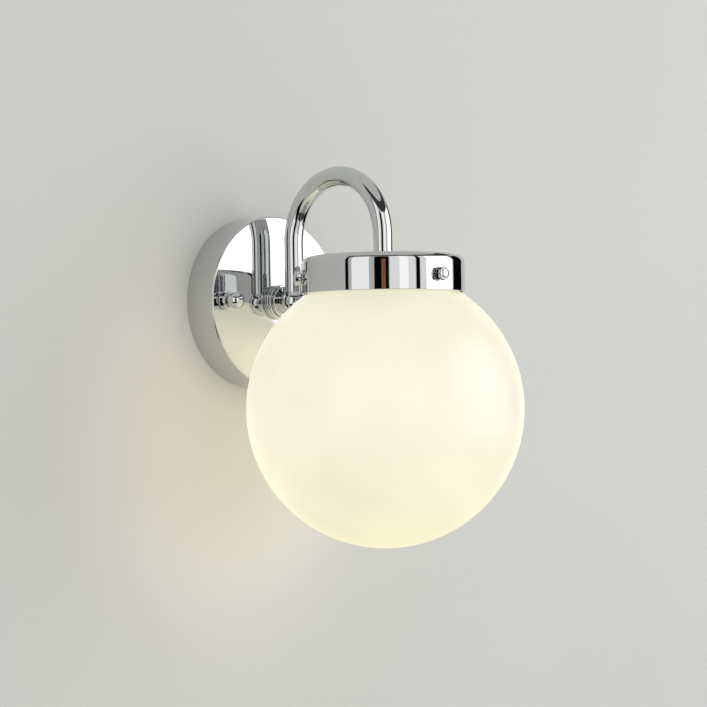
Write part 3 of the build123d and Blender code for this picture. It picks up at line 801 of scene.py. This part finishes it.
print("CAD pieces finished")


# wall and floor
room = {"wallLeft": 460, "wallRight": 2400, "wallTop": 1600, "wallBehind": 0.3, "boxHole": 47,
        "holeRound": 96, "rings": (1.3, 3.0), "floorDrop": 620, "floorReach": 2600}


def makeWall():
    r = room
    centre = (0, mm(r["wallBehind"]), 0)
    deselectAll()
    bpy.ops.mesh.primitive_circle_add(vertices=r["holeRound"], radius=mm(r["boxHole"]), fill_type="NOTHING",
                                      location=centre, rotation=(math.radians(90), 0, 0))
    wall = namePiece(bpy.context.object, "stageWall")
    applyPlace(wall)
    editOnly(wall)
    # rings out from the hole behind the canopy, the last one pulled to the wall's corners
    for share in r["rings"]:
        bpy.ops.mesh.extrude_edges_move(TRANSFORM_OT_translate={"value": (0, 0, 0)})
        bpy.ops.transform.resize(value=(share, 1, share), center_override=centre)
    bpy.ops.mesh.extrude_edges_move(TRANSFORM_OT_translate={"value": (0, 0, 0)})
    bpy.ops.object.mode_set(mode="OBJECT")
    for vertex in wall.data.vertices:
        if vertex.select:
            way = max(abs(vertex.co.x), abs(vertex.co.z))
            across, up = vertex.co.x / way, vertex.co.z / way
            vertex.co.x = mm(across * (r["wallRight"] if across > 0 else r["wallLeft"]))
            vertex.co.z = mm(up * (r["wallTop"] if up > 0 else r["floorDrop"]))
    # its front faces the room, because its back is clear
    if sum(face.normal.y for face in wall.data.polygons) > 0:
        editOnly(wall)
        bpy.ops.mesh.flip_normals()
        bpy.ops.object.mode_set(mode="OBJECT")
    wall.data.materials.append(makePaintedWall())
    return wall


def makeFloor():
    r = room
    deselectAll()
    bpy.ops.mesh.primitive_plane_add(size=mm(2 * r["floorReach"]), location=(0, 0, -mm(r["floorDrop"])))
    floor = namePiece(bpy.context.object, "stageFloor")
    floor.data.materials.append(makePaleFloor())
    return floor


stageWall = makeWall()
stageFloor = makeFloor()


# Everything round the light stands in rings about one point in front of the wall. A bearing runs from
# +x towards +y, and half is half of a box's width as an angle.
ringOut = 70
softBoxes = {
    "keyBox": {"bearing": 303.5, "half": 29, "radiance": 0.4},
    "keyCore": {"bearing": 308.5, "half": 24.5, "radiance": 1.05},
    "frontBox": {"bearing": 250, "half": 17.7, "radiance": 0.45},
    "frontCore": {"bearing": 251.7, "half": 6, "radiance": 0.36},
    "sideBox": {"bearing": 192.8, "half": 12.2, "radiance": 0.63},
}
boxDistance, boxTall, boxHeight = 1500, 1500, 250


def aroundLight(bearing, distance, height):
    turn = math.radians(bearing)
    return Vector((mm(distance) * math.cos(turn), mm(-ringOut) + mm(distance) * math.sin(turn), mm(height)))


def halfWide(half, distance):
    # the width, in metres, that spans twice this angle at this distance
    return 2 * mm(distance) * math.tan(math.radians(half))


def addLamp(name, shape, size, area, radiance, colour="FFFFFF"):
    # an area lamp of even radiance that the camera doesn't see; size and area are in metres
    lamp = bpy.data.lights.new(name, "AREA")
    lamp.shape = shape
    lamp.size = size
    lamp.color = hexColour(colour)[:3]
    lamp.energy = radiance * area * math.pi
    lampObject = bpy.data.objects.new(name, lamp)
    bpy.context.scene.collection.objects.link(lampObject)
    lampObject.visible_camera = False
    return lampObject


for name, box in softBoxes.items():
    width = halfWide(box["half"], boxDistance)
    boxLamp = addLamp(name, "RECTANGLE", width, width * mm(boxTall), box["radiance"])
    boxLamp.data.size_y = mm(boxTall)
    boxLamp.location = aroundLight(box["bearing"], boxDistance, boxHeight)
    boxLamp.rotation_euler = (math.radians(90), 0, math.radians(box["bearing"] + 90))

# the lit globe's warm light on the wall, and what the canopy throws back on the globe; tilt is 90 for a
# glow that shines at the wall and -90 for one that shines away from it
glows = {
    "widePool": {"radius": 105, "across": -16, "out": 29, "up": -80, "tilt": 90, "radiance": 0.28,
                 "colour": "FFEBB8"},
    "innerPool": {"radius": 70, "across": -32, "out": 29, "up": -66, "tilt": 90, "radiance": 0.5,
                  "colour": "FFEBB8"},
    "canopyGlow": {"radius": 42, "across": 0, "out": 24, "up": -8, "tilt": -90, "radiance": 2.3,
                   "colour": "FFFAE0"},
}
for name, glow in glows.items():
    radius = mm(glow["radius"])
    disk = addLamp(name, "DISK", 2 * radius, math.pi * radius ** 2, glow["radiance"], glow["colour"])
    disk.location = place(glow["across"], glow["out"], glow["up"])
    disk.rotation_euler = (math.radians(glow["tilt"]), 0, 0)
    disk.visible_glossy = False

# flags between the soft boxes, and strips above and below them: only the polished metal sees them, as the
# unlit parts of a room
flags = {
    "flagWallEnd": {"bearing": 174.7, "half": 2.4, "tint": "0A0A0A", "distance": 1000, "tall": 1100},
    "flagFront": {"bearing": 222.2, "half": 9.6, "tint": "090909", "distance": 1050, "tall": 1100},
    "flagSeam": {"bearing": 271, "half": 2.7, "tint": "0A0A0A", "distance": 1000, "tall": 1100},
    "flagRight": {"bearing": 347, "half": 13, "tint": "0C0C0C", "distance": 1100, "tall": 1100},
    "flagBrown": {"bearing": 224.9, "half": 2.7, "tint": "A8724E", "distance": 980, "tall": 43},
}
flagHeight = 65.5
strips = {  # from one (radius, height) to another
    "highStrip": {"start": (1250, 860), "end": (1050, 1250), "tint": "4C4C4E"},
    "lowStrip": {"start": (750, -600), "end": (1450, -580), "tint": "161616"},
}
stripRound = 64


def hideFlag(flag, tint):
    # mirror rays meet it, and no others
    flag.data.materials.append(makeFlagCloth(flag.name + "Cloth", tint))
    for ray in ("camera", "diffuse", "shadow", "transmission", "volume_scatter"):
        setattr(flag, "visible_" + ray, False)


def makeFlag(name, bearing, half, tint, distance, tall):
    deselectAll()
    bpy.ops.mesh.primitive_plane_add(size=1, location=aroundLight(bearing, distance, flagHeight))
    flag = namePiece(bpy.context.object, name)
    flag.rotation_euler = (math.radians(90), 0, math.radians(bearing + 90))
    flag.scale = (halfWide(half, distance), mm(tall), 1)
    applyPlace(flag)
    hideFlag(flag, tint)


def makeStrip(name, start, end, tint):
    deselectAll()
    bpy.ops.mesh.primitive_circle_add(vertices=stripRound, radius=mm(start[0]), fill_type="NOTHING",
                                      location=place(0, ringOut, start[1]))
    strip = namePiece(bpy.context.object, name)
    applyPlace(strip)
    editOnly(strip)
    share = end[0] / start[0]
    bpy.ops.mesh.extrude_edges_move(TRANSFORM_OT_translate={"value": (0, 0, mm(end[1] - start[1]))})
    bpy.ops.transform.resize(value=(share, share, 1), center_override=place(0, ringOut, end[1]))
    bpy.ops.object.mode_set(mode="OBJECT")
    hideFlag(strip, tint)


for name, flag in flags.items():
    makeFlag(name, **flag)
for name, strip in strips.items():
    makeStrip(name, **strip)

roomLight = {"colour": "E9E9E6", "strength": 0.75}
world = bpy.data.worlds.new("paleRoom")
world.use_nodes = True
world.node_tree.nodes["Background"].inputs["Color"].default_value = hexColour(roomLight["colour"])
world.node_tree.nodes["Background"].inputs["Strength"].default_value = roomLight["strength"]
bpy.context.scene.world = world
print("room made")


# camera at the photograph's viewing angle; the focal length is in pixels of a frame this wide
view = {"across": -567.2, "out": 628.79, "up": -34.87, "yaw": 46.13, "pitch": 0.274, "roll": -0.861,
        "focal": 1400, "frame": 707, "sensor": 36.0, "near": 10, "far": 50000}
cameraData = bpy.data.cameras.new("photoCamera")
camera = bpy.data.objects.new("photoCamera", cameraData)
bpy.context.scene.collection.objects.link(camera)
cameraData.sensor_width = view["sensor"]
cameraData.lens = view["sensor"] * view["focal"] / view["frame"]
cameraData.clip_start, cameraData.clip_end = mm(view["near"]), mm(view["far"])
spot = Matrix.Translation(place(view["across"], view["out"], view["up"]))
turn = Matrix.Rotation(-math.radians(view["yaw"]), 4, "Z")
tip = Matrix.Rotation(math.radians(90 + view["pitch"]), 4, "X")
lean = Matrix.Rotation(math.radians(view["roll"]), 4, "Z")
camera.matrix_world = spot @ turn @ tip @ lean
bpy.context.scene.camera = camera
bpy.context.scene.view_settings.view_transform = "Standard"
print("camera set")
